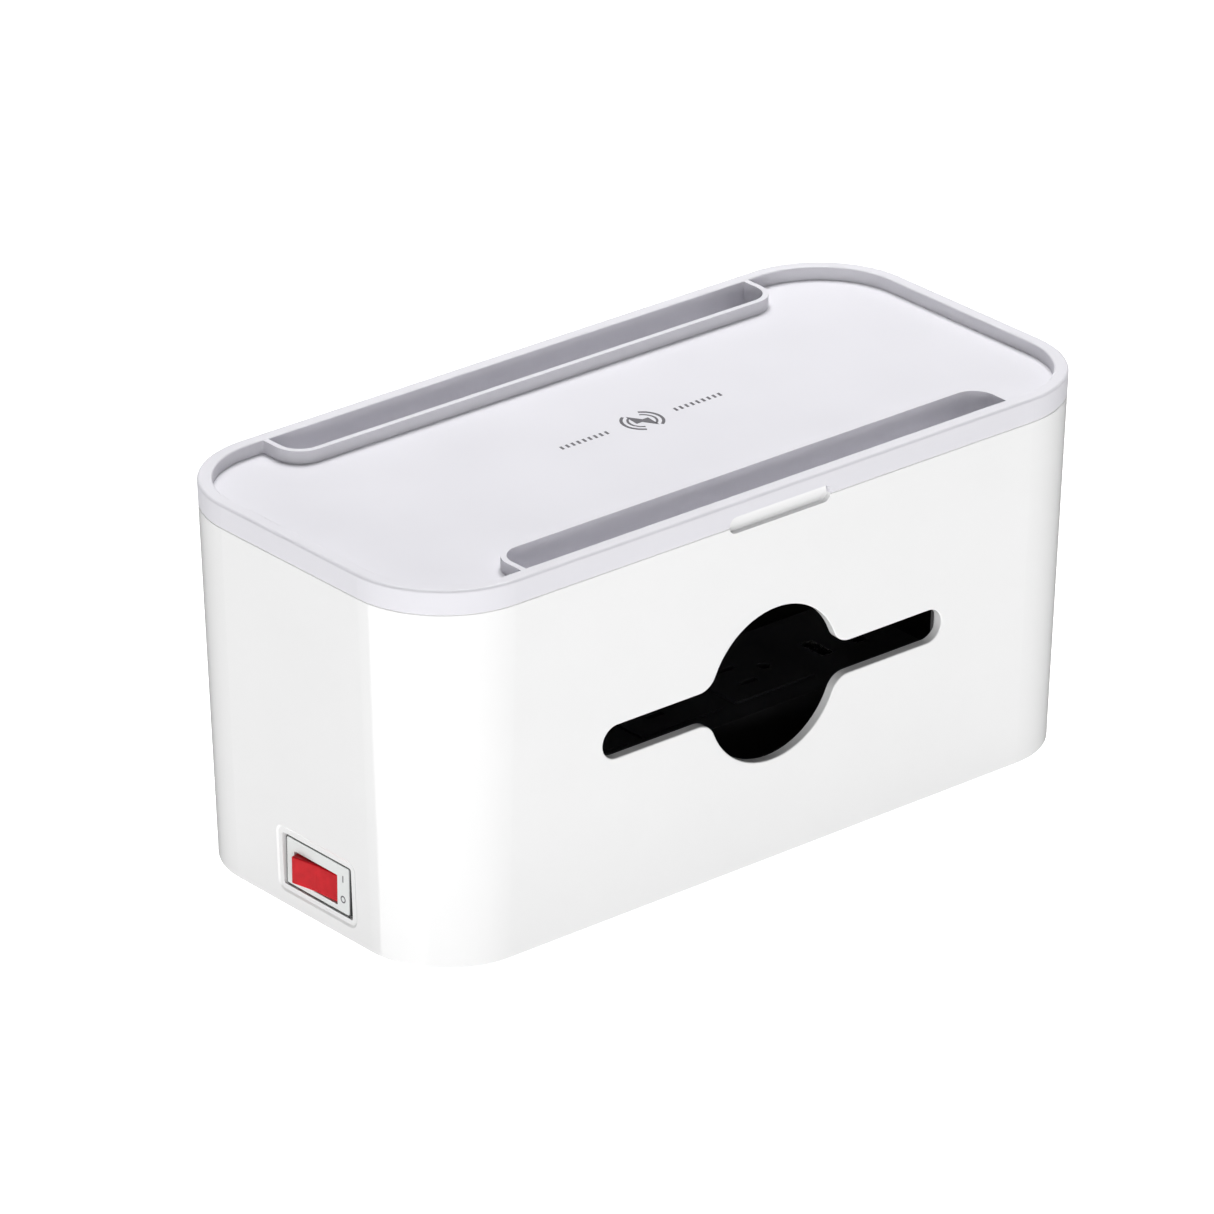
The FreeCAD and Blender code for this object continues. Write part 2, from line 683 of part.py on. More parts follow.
def charger_inside():
    middle = ("charger_across", "charger_back")
    ring = rod("coil_ring", (*middle, f"{CHARGER_TOP} - 1.4"), "coil_radius", "1.3")
    bore = rod("coil_hole", (*middle, f"{CHARGER_TOP} - 1.4"), "coil_bore", "1.3")
    keep("charging_coil", cut("coil", ring, [bore]))
    keep("ferrite_sheet", rod("ferrite", (*middle, f"{CHARGER_TOP} - 2.4"), "coil_radius + 2", "0.9"))
    at = ("charger_across - 49", "charger_back - 27", f"{CHARGER_TOP} - 2.5 - board_wall")
    keep("charger_board", block("charger_pcb", at, ("98", "54", "board_wall")))
    chips = []
    for across, back, wide, deep in ((-30, -12, 8, 8), (-14, 10, 6, 10), (8, -8, 10, 7), (30, 6, 12, 12)):
        at = (f"charger_across + {across}", f"charger_back + {back}", f"{CHARGER_TOP} - 5.4")
        chips.append(block("charger_chip", at, (wide, deep, "1.2")))
    keep("charger_chips", group("chips", chips))

    left = "charger_across - charger_length / 2 + 0.4"
    low = block("inlet_base", (left, "charger_back - 4.5", f"{CHARGER_BASE} + 2.6"), ("8", "9", "1.2"))
    high = block("inlet_roof", (left, "charger_back - 4.5", f"{CHARGER_BASE} + 5.4"), ("8", "9", "0.4"))
    sides = [block("inlet_side", (left, f"charger_back + {y}", f"{CHARGER_BASE} + 2.6"), ("8", "0.4", "3.2"))
             for y in (-4.5, 4.1)]
    keep("charger_inlet_shell", fuse("inlet_shell", [low, high, *sides]))
    at = (f"{left} + 1.5", "charger_back - 3.3", f"{CHARGER_BASE} + 4.3")
    keep("charger_inlet_tongue", block("inlet_blade", at, ("6.5", "6.6", "0.7")))


# ---------------------------------------------------------------- power strip

STRIP_BASE = "stand + wall + liner_gap + liner_wall"
STRIP_X = "strip_left + strip_length / 2"
PARTING = f"{STRIP_BASE} + strip_parting"
STRIP_TOP = f"{STRIP_BASE} + strip_height"
PLATE_Z = "stand + plate_level"
ROCKER_Z = "stand + rocker_level"


def strip_housing(name, low, height, hollow_from_top):
    """One half of the strip's housing: a rounded tub, open at the switch end."""
    body = new_body(f"{name}_body")
    outline = sketch_on(body, f"{name}_outline", "XY_Plane", (STRIP_X, "strip_middle", low))
    rounded_rectangle(outline, "strip_length", "strip_width", "strip_corner")
    pad(body, f"{name}_block", outline, height)
    start = f"{low} + {height}" if hollow_from_top else low
    hollow = sketch_on(body, f"{name}_hollow_outline", "XY_Plane",
                       (f"{STRIP_X} - strip_wall / 2 - 2 * strip_corner", "strip_middle", start))
    rounded_rectangle(hollow, "strip_length + 4 * strip_corner - strip_wall", "strip_width - 2 * strip_wall",
                      "strip_corner - strip_wall")
    pocket(body, f"{name}_hollow", hollow, f"{height} - strip_wall", back=not hollow_from_top)
    return body


def gland_hole(name):
    at = (f"{STRIP_X} + strip_length / 2 - 5", "strip_middle", PARTING)
    return rod(name, at, "gland_neck + 0.2", "10", "X")


def strip_base():
    body = strip_housing("strip_base", STRIP_BASE, "strip_parting", True)
    tools = [gland_hole("base_gland_hole")]
    bosses = [body]
    for x_side, y_side in CORNERS:
        place = (f"{STRIP_X} + {x_side} * box_screw_across", f"strip_middle + {y_side} * box_screw_back")
        reach = "strip_parting - 3"
        bosses.append(rod("base_boss", (*place, STRIP_BASE), "2.4 * screw_radius", reach))
        tools.append(rod("base_pilot", (*place, f"{STRIP_BASE} - 1"), "screw_radius + 0.05", reach))
    keep("strip_base", cut("strip_base_drilled", fuse("strip_base_bossed", bosses), tools))


def socket_middle(number):
    return f"strip_left + socket_start + {number} * socket_pitch"


def usb_middle(number):
    return f"strip_left + usb_start + {number} * usb_pitch"


def strip_cover():
    body = strip_housing("strip_cover", PARTING, "strip_height - strip_parting", False)
    added = [body]
    tools = [gland_hole("cover_gland_hole")]
    low = f"{STRIP_TOP} - cover_cut / 2"
    for number in range(SOCKETS):
        middle = socket_middle(number)
        at = (f"{middle} - socket_length / 2", "strip_middle - socket_width / 2", f"{STRIP_TOP} - 1")
        added.append(block("socket_face", at, ("socket_length", "socket_width", "socket_rise + 1")))
        for side in (-1, 1):
            at = (f"{middle} - blade_length", f"strip_middle + {side} * blade_across - blade_width / 2", low)
            tools.append(block("blade_slot", at, ("blade_length", "blade_width", "cover_cut")))
        at = (f"{middle} + earth_along", "strip_middle", low)
        tools.append(rod("earth_hole", at, "earth_radius", "cover_cut"))
    for number in range(USB_PORTS):
        at = (f"{usb_middle(number)} - port_width / 2 - 0.2", "strip_middle - port_length / 2 - 0.3", low)
        tools.append(block("usb_cut", at, ("port_width + 0.4", "port_length + 0.6", "cover_cut")))
    keep("strip_cover", cut("strip_cover_cut", fuse("strip_cover_faced", added), tools))


def busbars():
    """Three brass bars with a pair of clip leaves under each blade slot or earth hole."""
    rows = (("busbar_live", "-blade_across", "-blade_length", "blade_length"),
            ("busbar_neutral", "blade_across", "-blade_length", "blade_length"),
            ("busbar_earth", "0", "earth_along - 3", "6"))
    for node, across, clip_start, clip_length in rows:
        at = ("strip_left + 30", f"strip_middle + {across} - bar_width / 2", f"{PARTING} - 2")
        pieces = [block(f"{node}_bar", at, ("strip_length - 76", "bar_width", "bar_wall"))]
        for number in range(SOCKETS):
            for side in (-1, 1):
                at = (f"{socket_middle(number)} + {clip_start}",
                      f"strip_middle + {across} + {side} * leaf_across - leaf_wall / 2", f"{PARTING} - 1.5")
                pieces.append(block("clip_leaf", at, (clip_length, "leaf_wall", "leaf_height")))
        keep(node, fuse(f"{node}_fused", pieces))


def usb_section():
    shells = []
    tongues = []
    low = f"{STRIP_TOP} - port_depth"
    for number in range(USB_PORTS):
        middle = usb_middle(number)
        can = block("port_can", (f"{middle} - port_width / 2", "strip_middle - port_length / 2", low),
                    ("port_width", "port_length", "port_depth"))
        at = (f"{middle} - port_width / 2 + port_wall", "strip_middle - port_length / 2 + port_wall",
              f"{low} + 0.4")
        room = block("port_room", at, ("port_width - 2 * port_wall", "port_length - 2 * port_wall",
                                       "port_depth + 1"))
        shells.append(cut("port_shell", can, [room]))
        at = (f"{middle} - 2.2", "strip_middle - tongue_length / 2", f"{low} + 0.4")
        tongues.append(block("port_tongue", at, ("tongue_wall", "tongue_length", "port_depth - 2.4")))
    keep("usb_port_shells", group("usb_shells", shells))
    keep("usb_port_tongues", group("usb_tongues", tongues))
    end = "strip_left + strip_length"
    board_low = f"{low} - 0.2 - board_wall"
    at = (f"{end} - 46", "strip_middle - 22", board_low)
    keep("usb_board", block("usb_pcb", at, ("36", "44", "board_wall")))
    at = (f"{end} - 40", "strip_middle - 19", f"{board_low} - core_height")
    keep("usb_transformer", block("usb_core", at, ("16", "14", "core_height")))
    cans = [rod("usb_can", (f"{end} - {back}", "strip_middle + 14", f"{board_low} - can_height"),
                "can_radius", "can_height") for back in (40, 28)]
    keep("usb_capacitors", group("usb_cans", cans))


def cord_gland():
    """The bush that the mains lead would leave the strip through."""
    left = f"{STRIP_X} + strip_length / 2"
    inside = rod("gland_inside", (f"{left} - 4.5", "strip_middle", PARTING), "gland_collar", "2.3", "X")
    neck = rod("gland_middle", (f"{left} - 3", "strip_middle", PARTING), "gland_neck", "4", "X")
    taper = cone("gland_taper", (left, "strip_middle", PARTING), "gland_collar", "gland_neck",
                 "gland_reach", "X")
    bore = rod("gland_hole", (f"{left} - 6", "strip_middle", PARTING), "gland_bore",
               "gland_reach + 12", "X")
    keep("cord_gland", cut("gland", fuse("gland_blank", [inside, neck, taper]), [bore]))


# ---------------------------------------------------------------- switch

PIVOT_X = "plate_face + pivot_depth"


def strip_end_cap():
    """The flange that closes the strip's end, and a nose on it that holds the switch in the window."""
    body = new_body("strip_end_cap_body")
    flange = sketch_on(body, "flange_outline", "YZ_Plane",
                       ("strip_middle", f"{STRIP_BASE} + strip_height / 2", "flange_left"))
    rounded_rectangle(flange, "strip_width", "strip_height", "3")
    pad(body, "flange", flange, "flange_wall")
    nose = sketch_on(body, "nose_outline", "YZ_Plane", ("plate_middle", PLATE_Z, "plate_face + nose_step"))
    rounded_rectangle(nose, "plate_length + 2 * nose_rim", "plate_height + 2 * nose_rim",
                      "plate_corner + nose_rim")
    pad(body, "nose", nose, "flange_left - plate_face - nose_step + flange_wall / 2")
    seat = sketch_on(body, "plate_seat_outline", "YZ_Plane",
                     ("plate_middle", PLATE_Z, "plate_face + plate_wall"))
    rounded_rectangle(seat, "plate_length + 0.1", "plate_height + 0.1", "plate_corner")
    pocket(body, "plate_seat", seat, "2 * plate_wall")
    back = "flange_left + flange_wall"
    room = sketch_on(body, "housing_room_outline", "YZ_Plane", ("rocker_middle", ROCKER_Z, back))
    rounded_rectangle(room, "rocker_length + 6.4", "rocker_height + 4", "0.5")
    pocket(body, "housing_room", room, f"2 * ({back} - plate_face)")
    keep("strip_end_cap", body)


def switch_plate():
    body = new_body("switch_plate_body")
    outline = sketch_on(body, "plate_outline", "YZ_Plane", ("plate_middle", PLATE_Z, "plate_face"))
    rounded_rectangle(outline, "plate_length", "plate_height", "plate_corner")
    pad(body, "plate", outline, "plate_wall")
    aperture = sketch_on(body, "aperture_outline", "YZ_Plane", ("rocker_middle", ROCKER_Z, "plate_face"))
    rounded_rectangle(aperture, "rocker_length + 2 * rocker_gap", "rocker_height + 2 * rocker_gap", "0.4")
    pocket(body, "rocker_aperture", aperture, "4 * plate_wall", both=True)
    keep("switch_plate", body)


def rocker_half(name, side, tilt):
    """One flat half of the rocker, -1 towards the box's front or 1 towards its back, tilted about the pivot."""
    face = "(pivot_depth + rocker_stand)"
    start = "0" if side > 0 else "rocker_length / 2"
    half = doc.addObject("Part::Box", name)
    first_turn = FreeCAD.Rotation(FreeCAD.Vector(0, 0, 1), 1)
    half.Placement = FreeCAD.Placement(FreeCAD.Vector(), first_turn)
    bind(half, {
        "Length": f"{face} + 1",
        "Width": "rocker_length / 2",
        "Height": "rocker_height",
        "Placement.Rotation.Angle": f"{tilt} * 1 deg",
        "Placement.Base.x": f"{PIVOT_X} - {face} * cos({tilt} * 1 deg) + {start} * sin({tilt} * 1 deg)",
        "Placement.Base.y": f"rocker_middle - {face} * sin({tilt} * 1 deg) - {start} * cos({tilt} * 1 deg)",
        "Placement.Base.z": f"{ROCKER_Z} - rocker_height / 2",
    })
    return half


def rocker_switch():
    front = "plate_face + plate_wall + 0.1"
    outer = block("housing_block", (front, "rocker_middle - rocker_length / 2 - 3",
                                    f"{ROCKER_Z} - rocker_height / 2 - 1.8"),
                  ("housing_depth", "rocker_length + 6", "rocker_height + 3.6"))
    room = block("housing_hollow", (f"{front} - 1", "rocker_middle - rocker_length / 2 - 1",
                                    f"{ROCKER_Z} - rocker_height / 2 - 0.4"),
                 ("15", "rocker_length + 2", "rocker_height + 0.8"))
    pin_hole = rod("housing_pin_hole", (PIVOT_X, "rocker_middle", f"{ROCKER_Z} - 12"),
                   "pivot_radius + 0.05", "24")
    keep("rocker_housing", cut("housing", outer, [room, pin_hole]))

    # the halves form a shallow valley; pressed one way, it lies just as far the other way after the swing
    low = f"{ROCKER_Z} - rocker_height / 2"
    sunk = rocker_half("sunk_half", -1, "(rocker_swing - rocker_bend) / 2")
    raised = rocker_half("raised_half", 1, "(rocker_swing + rocker_bend) / 2")
    hub = rod("rocker_hub", (PIVOT_X, "rocker_middle", low), "2.6", "rocker_height")
    axle = rod("rocker_axle", (PIVOT_X, "rocker_middle", f"{low} - 1.6"), "pivot_radius",
               "rocker_height + 3.2")
    keep("rocker", fuse("rocker_fused", [sunk, raised, hub, axle]))

    back = f"{front} + housing_depth"
    blades = []
    for side in (-1, 0, 1):
        at = (back, f"rocker_middle + {side} * terminal_across - terminal_width / 2", f"{ROCKER_Z} - 0.4")
        blades.append(block("terminal_blade", at, ("8", "terminal_width", "0.8")))
    keep("switch_terminals", group("terminals", blades))
    keep("switch_lamp", rod("lamp", (f"{front} + 11", "rocker_middle - 4", ROCKER_Z), "1.6", "8", "Y"))


# ---------------------------------------------------------------- fasteners

def screw(name, at, head_height, length):
    """A pan head screw pointing up from at, with a cross recess in its head."""
    x, y, z = at
    head = rod(f"{name}_head", at, "screw_head", head_height)
    shank = rod(f"{name}_shank", at, "screw_radius", length)
    cross = [block(f"{name}_cross", (f"{x} - {half_x}", f"{y} - {half_y}", f"{z} - 0.4"),
                   (f"2 * {half_x}", f"2 * {half_y}", "1.2")) for half_x, half_y in ((1.7, 0.35), (0.35, 1.7))]
    return cut(name, fuse(f"{name}_blank", [head, shank]), cross)


def screws():
    box = [screw("box_screw", (f"{STRIP_X} + {x} * box_screw_across", f"strip_middle + {y} * box_screw_back",
                               "stand + 0.1"), "wall / 2 - 0.1", "11") for x, y in CORNERS]
    keep("box_screws", group("box_screw_set", box))
    cover = [screw("charger_screw", (f"charger_across + {x} * boss_across", f"charger_back + {y} * boss_back",
                                     f"{CHARGER_BASE} - 1.4"), "1.4", "8") for x, y in CORNERS]
    keep("charger_cover_screws", group("charger_screw_set", cover))


# ---------------------------------------------------------------- build, check and write

for make in (outer_shell, inner_liner, rubber_feet, lid_tray, charger_cover, charger_inside, strip_base,
             strip_cover, busbars, usb_section, cord_gland, strip_end_cap, switch_plate, rocker_switch, screws):
    make()
doc.recompute()

for thing in doc.Objects:
    if "Invalid" in thing.State or "Error" in thing.State:
        raise RuntimeError(f"{thing.Name} failed: {thing.State}")
os.makedirs("parts", exist_ok=True)
for node, thing in subparts.items():
    if thing.Shape.isNull() or not thing.Shape.isValid():
        raise RuntimeError(f"{node} has no valid shape")
    thing.Shape.exportStep(f"parts/{node}.step")
    print(f"{node}: {len(thing.Shape.Solids)} solids, {thing.Shape.Volume:.0f} cubic millimetres")
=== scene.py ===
"""Looks of the cable management box: materials, small detailed pieces, studio and camera, in metres."""
import bmesh
import bpy
import json
import math
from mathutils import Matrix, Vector


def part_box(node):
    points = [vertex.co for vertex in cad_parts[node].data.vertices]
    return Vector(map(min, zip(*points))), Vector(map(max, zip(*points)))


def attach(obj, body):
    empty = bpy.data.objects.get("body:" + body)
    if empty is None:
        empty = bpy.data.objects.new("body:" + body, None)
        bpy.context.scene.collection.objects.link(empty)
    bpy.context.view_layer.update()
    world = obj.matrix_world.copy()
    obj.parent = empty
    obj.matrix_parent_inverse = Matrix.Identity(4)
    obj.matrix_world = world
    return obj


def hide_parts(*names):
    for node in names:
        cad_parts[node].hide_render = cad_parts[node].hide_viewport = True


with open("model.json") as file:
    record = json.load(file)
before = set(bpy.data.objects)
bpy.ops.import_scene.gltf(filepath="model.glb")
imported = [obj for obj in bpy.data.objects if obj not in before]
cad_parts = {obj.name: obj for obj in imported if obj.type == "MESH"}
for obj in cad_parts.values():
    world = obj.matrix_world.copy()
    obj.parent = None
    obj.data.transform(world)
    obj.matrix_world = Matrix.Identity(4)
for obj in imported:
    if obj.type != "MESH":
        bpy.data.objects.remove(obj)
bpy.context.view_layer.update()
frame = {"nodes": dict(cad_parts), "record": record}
nodes = frame["nodes"]

MM = 0.001
INK_DEPTH = 0.04 * MM
TRAY_BELOW_RIM = 5.1 * MM


# ---------------------------------------------------------------- materials

def shader(name):
    """An empty node material with its Principled shader."""
    material = bpy.data.materials.new(name)
    material.use_nodes = True
    return material, material.node_tree, material.node_tree.nodes["Principled BSDF"]


def link(tree, source, output, target, socket):
    tree.links.new(source.outputs[output], target.inputs[socket])


def noise(tree, scale, detail=2.0):
    """Noise fixed to the object, scale in features per metre."""
    place = tree.nodes.new("ShaderNodeTexCoord")
    made = tree.nodes.new("ShaderNodeTexNoise")
    made.inputs["Scale"].default_value = scale
    made.inputs["Detail"].default_value = detail
    link(tree, place, "Object", made, "Vector")
    return made


def spread(tree, source, low, high):
    """The noise's middle range stretched to low..high."""
    made = tree.nodes.new("ShaderNodeMapRange")
    made.inputs["From Min"].default_value = 0.3
    made.inputs["From Max"].default_value = 0.7
    made.inputs["To Min"].default_value = low
    made.inputs["To Max"].default_value = high
    link(tree, source, "Fac", made, "Value")
    return made


def tint(tree, source, low, high):
    """A colour ramp between two colours."""
    made = tree.nodes.new("ShaderNodeValToRGB")
    made.color_ramp.elements[0].position = 0.3
    made.color_ramp.elements[1].position = 0.7
    made.color_ramp.elements[0].color = (*low, 1)
    made.color_ramp.elements[1].color = (*high, 1)
    link(tree, source, "Fac", made, "Fac")
    return made


def moulded(name, colour, roughness, grain=0.00045, depth=0.000004, mottle=0.012, specular=0.5):
    """Moulded plastic: spark-eroded grain, slow changes of gloss and a barely visible colour mottle."""
    material, tree, surface = shader(name)
    slow = noise(tree, 28, 3)
    low = tuple(channel * (1 - mottle) for channel in colour)
    link(tree, tint(tree, slow, low, colour), "Color", surface, "Base Color")
    link(tree, spread(tree, slow, roughness * 0.9, roughness * 1.1), "Result", surface, "Roughness")
    surface.inputs["Specular IOR Level"].default_value = specular
    fine = noise(tree, 1 / grain, 4)
    bump = tree.nodes.new("ShaderNodeBump")
    bump.inputs["Strength"].default_value = 0.35
    bump.inputs["Distance"].default_value = depth
    link(tree, fine, "Fac", bump, "Height")
    link(tree, bump, "Normal", surface, "Normal")
    return material


def metal(name, colour, roughness):
    """Sheet metal with fine rolling streaks."""
    material, tree, surface = shader(name)
    place = tree.nodes.new("ShaderNodeTexCoord")
    stretch = tree.nodes.new("ShaderNodeMapping")
    stretch.inputs["Scale"].default_value = (300, 6000, 6000)
    link(tree, place, "Object", stretch, "Vector")
    lines = tree.nodes.new("ShaderNodeTexNoise")
    lines.inputs["Scale"].default_value = 1
    lines.inputs["Detail"].default_value = 3
    link(tree, stretch, "Vector", lines, "Vector")
    low = tuple(channel * 0.86 for channel in colour)
    link(tree, tint(tree, lines, low, colour), "Color", surface, "Base Color")
    link(tree, spread(tree, lines, roughness * 0.75, roughness * 1.3), "Result", surface, "Roughness")
    surface.inputs["Metallic"].default_value = 1.0
    return material


def red_rocker_plastic():
    """Deep red plastic that lets a little light in."""
    material, tree, surface = shader("rocker_red")
    slow = noise(tree, 260, 3)
    link(tree, tint(tree, slow, (0.5, 0.006, 0.012), (0.62, 0.012, 0.02)), "Color", surface, "Base Color")
    link(tree, spread(tree, slow, 0.3, 0.42), "Result", surface, "Roughness")
    surface.inputs["Specular IOR Level"].default_value = 0.12
    surface.inputs["Subsurface Weight"].default_value = 0.15
    surface.inputs["Subsurface Radius"].default_value = (0.002, 0.0003, 0.0003)
    surface.inputs["Subsurface Scale"].default_value = 1.0
    return material


def printed_ink():
    """Grey pad-printed ink, slightly uneven in tone and gloss."""
    material, tree, surface = shader("mark_grey")
    slow = noise(tree, 900, 3)
    link(tree, tint(tree, slow, (0.085, 0.082, 0.095), (0.12, 0.115, 0.13)), "Color", surface, "Base Color")
    link(tree, spread(tree, slow, 0.42, 0.6), "Result", surface, "Roughness")
    return material


def lamp_glass():
    """Clear glass of the neon lamp, faintly warm."""
    material, tree, surface = shader("lamp_glass")
    slow = noise(tree, 400, 2)
    link(tree, tint(tree, slow, (0.95, 0.88, 0.84), (1, 0.95, 0.92)), "Color", surface, "Base Color")
    surface.inputs["Roughness"].default_value = 0.05
    surface.inputs["Transmission Weight"].default_value = 0.9
    return material


def board_lacquer():
    """Green solder mask with the faint weave of the glass laminate."""
    material, tree, surface = shader("board_green")
    place = tree.nodes.new("ShaderNodeTexCoord")
    weave = tree.nodes.new("ShaderNodeTexWave")
    weave.inputs["Scale"].default_value = 700
    weave.inputs["Distortion"].default_value = 0.6
    link(tree, place, "Object", weave, "Vector")
    link(tree, tint(tree, weave, (0.008, 0.09, 0.035), (0.012, 0.13, 0.05)), "Color", surface, "Base Color")
    surface.inputs["Roughness"].default_value = 0.3
    return material


LOOKS = {
    "shell_white": moulded("shell_white", (0.86, 0.86, 0.86), 0.06, depth=0.0000004),
    "lid_white": moulded("lid_white", (0.735, 0.728, 0.768), 0.42, depth=0.000006, specular=0.2),
    "plate_white": moulded("plate_white", (0.8, 0.82, 0.81), 0.3),
    # painted shade: the black of the inner liner stands in for the shade inside the box seen through the
    # cable opening
    "liner_black": moulded("liner_black", (0.07, 0.07, 0.073), 0.4, depth=0.00001, mottle=0.2),
    # painted shade: the black of the strip and its end flange stands in for the dark inside seen through the
    # opening and the shadow in the gap round the switch plate
    "strip_black": moulded("strip_black", (0.045, 0.045, 0.047), 0.35, depth=0.00001, mottle=0.2),
    "switch_black": moulded("switch_black", (0.006, 0.006, 0.006), 0.4, mottle=0.2),
    "chip_black": moulded("chip_black", (0.012, 0.012, 0.013), 0.5, mottle=0.2),
    "tongue_blue": moulded("tongue_blue", (0.02, 0.02, 0.022), 0.4, mottle=0.2),
    "can_dark": moulded("can_dark", (0.02, 0.022, 0.05), 0.35, mottle=0.1),
    "core_yellow": moulded("core_yellow", (0.55, 0.4, 0.05), 0.4, mottle=0.1),
    "ferrite": moulded("ferrite", (0.035, 0.035, 0.04), 0.6, depth=0.00002, mottle=0.3),
    "foot_rubber": moulded("foot_rubber", (0.2, 0.2, 0.205), 0.7, depth=0.00002, mottle=0.1, specular=0.3),
    "gland_rubber": moulded("gland_rubber", (0.012, 0.012, 0.012), 0.55, depth=0.00001, mottle=0.2),
    "brass": metal("brass", (0.82, 0.58, 0.25), 0.25),
    "copper": metal("copper", (0.8, 0.36, 0.18), 0.3),
    "steel": metal("steel", (0.62, 0.61, 0.6), 0.25),
    "rocker_red": red_rocker_plastic(),
    "lamp_glass": lamp_glass(),
    "board_green": board_lacquer(),
}
for entry in frame["record"]["subparts"]:
    node = nodes[entry["node"]]
    node.data.materials.clear()
    node.data.materials.append(LOOKS[entry["material_slot"]])


# ---------------------------------------------------------------- pieces

def piece_from(name, form, material, body):
    """A new piece from a bmesh, riding on a body."""
    mesh = bpy.data.meshes.new(name)
    form.to_mesh(mesh)
    form.free()
    mesh.materials.append(material)
    made = bpy.data.objects.new(name, mesh)
    bpy.context.scene.collection.objects.link(made)
    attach(made, body)
    return made


def ring_sector(form, middle, inner, outer, first, last, low, high, steps=48):
    """A flat ring, or a part of one, between two radii and two levels."""
    turns = [math.radians(first + (last - first) * step / steps) for step in range(steps + 1)]
    rows = []
    for turn in turns:
        along = Vector((math.cos(turn), math.sin(turn), 0))
        rows.append([form.verts.new(middle + along * radius + Vector((0, 0, level)))
                     for radius, level in ((inner, low), (outer, low), (outer, high), (inner, high))])
    closed = abs(last - first) >= 360
    if closed:
        for vertex in rows[-1]:
            form.verts.remove(vertex)
        rows[-1] = rows[0]
    for here, there in zip(rows, rows[1:]):
        for side in range(4):
            follow = (side + 1) % 4
            form.faces.new((here[side], here[follow], there[follow], there[side]))
    if not closed:
        form.faces.new(reversed(rows[0]))
        form.faces.new(rows[-1])


def slab(form, corners, out):
    """A thin flat piece: its corners on a surface, raised by out."""
    low = [form.verts.new(corner) for corner in corners]
    high = [form.verts.new(corner + out) for corner in corners]
    form.faces.new(low)
    form.faces.new(high)
    for here in range(len(corners)):
        follow = (here + 1) % len(corners)
        form.faces.new((low[here], low[follow], high[follow], high[here]))


def tray_mark():
    """A generic printed charging mark: two broken rings round a slanted bar, with short dashes beside it."""
    coil_low, coil_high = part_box("charging_coil")
    tray_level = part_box("lid_tray")[1].z - TRAY_BELOW_RIM
    middle = Vector(((coil_low.x + coil_high.x) / 2, (coil_low.y + coil_high.y) / 2, tray_level))
    form = bmesh.new()
    for inner, outer in ((7.1, 8.3), (4.9, 5.8)):
        for first in (-62, 118):
            ring_sector(form, middle, inner * MM, outer * MM, first, first + 124, 0, INK_DEPTH)
    bar = ((-2.6, 6.4), (0.8, 0.9), (3.4, 0.9), (2.6, -6.4), (-0.8, -0.9), (-3.4, -0.9))
    up = Vector((0, 0, INK_DEPTH))
    slab(form, [middle + Vector((x * MM, y * MM, 0)) for x, y in bar], up)
    dashes = 9
    for first, last in ((-39, -15.5), (14.5, 38)):
        for number in range(dashes):
            x = first + (last - first) * (number + 0.5) / dashes
            corners = ((x - 0.75, -1.3), (x + 0.35, -1.3), (x + 0.75, 1.3), (x - 0.35, 1.3))
            slab(form, [middle + Vector((a * MM, b * MM, 0)) for a, b in corners], up)
    bmesh.ops.recalc_face_normals(form, faces=form.faces)
    piece_from("tray_mark", form, INK, "lid")


def plate_marks():
    """Two generic switch marks on the plate beside the rocker, a bar and a ring."""
    bar_level, ring_level = 23.6 * MM, 15.6 * MM
    inner, outer = 0.9, 1.4
    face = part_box("switch_plate")[0].x
    y = (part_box("switch_plate")[0].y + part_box("rocker")[0].y) / 2
    out = Vector((-INK_DEPTH, 0, 0))
    form = bmesh.new()
    corners = ((-0.25, -1.3), (0.25, -1.3), (0.25, 1.3), (-0.25, 1.3))
    slab(form, [Vector((face, y + a * MM, bar_level + b * MM)) for a, b in corners], out)
    steps = 32
    for step in range(steps):
        first, last = math.tau * step / steps, math.tau * (step + 1) / steps
        corners = [(math.cos(turn) * size, math.sin(turn) * size)
                   for turn, size in ((first, inner), (last, inner), (last, outer), (first, outer))]
        slab(form, [Vector((face, y + a * MM, ring_level + b * MM)) for a, b in corners], out)
    bmesh.ops.recalc_face_normals(form, faces=form.faces)
    piece_from("plate_marks", form, INK, "box")


def rounded_rocker():
    """The rocker with its outer edges rounded and the valley between its halves softened."""
    form = bmesh.new()
    form.from_mesh(nodes["rocker"].data)
    bmesh.ops.remove_doubles(form, verts=form.verts, dist=0.005 * MM)
    bmesh.ops.dissolve_limit(form, angle_limit=math.radians(1), verts=form.verts, edges=form.edges)
    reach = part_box("rocker")[0].x + 4.5 * MM
    outer = [edge for edge in form.edges if len(edge.link_faces) == 2
             and edge.calc_face_angle() > math.radians(40) and min(v.co.x for v in edge.verts) < reach]
    bmesh.ops.bevel(form, geom=outer, offset=0.5 * MM, segments=4, profile=0.5, affect="EDGES",
                    clamp_overlap=True)
    large = [face for face in form.faces if face.calc_area() > 40 * MM * MM]
    bmesh.ops.inset_individual(form, faces=large, thickness=0.4 * MM)
    for face in form.faces:
        face.smooth = True
    made = piece_from("rounded_rocker", form, LOOKS["rocker_red"], "rocker")
    made.data.set_sharp_from_angle(angle=math.radians(40))
    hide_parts("rocker")


INK = printed_ink()
tray_mark()
plate_marks()
rounded_rocker()


# ---------------------------------------------------------------- studio and camera

# what the glossy walls mirror below the horizon: degrees from +X, brightness there
MIRRORED = ((-180, 2.7), (-153, 2.7), (-152, 2.0), (-59, 0.8), (-52, 0.6), (0, 0.25), (50, 0.2), (130, 0.6),
            (142, 0.6), (144, 2.7), (180, 2.7))
BRIGHTEST = 2.7
SKY = 0.08
FLOOR_GLOW = 1.12
# name: place, target, width, height, watts
SOFTBOXES = {
    "rear": ((0.75, 0.9, 2.45), (0, 0, 0), 1.5, 1.5, 85),
    "front": ((-2.2, -2.6, 0.4), (0, 0, 0.08), 2.4, 0.8, 48),
}


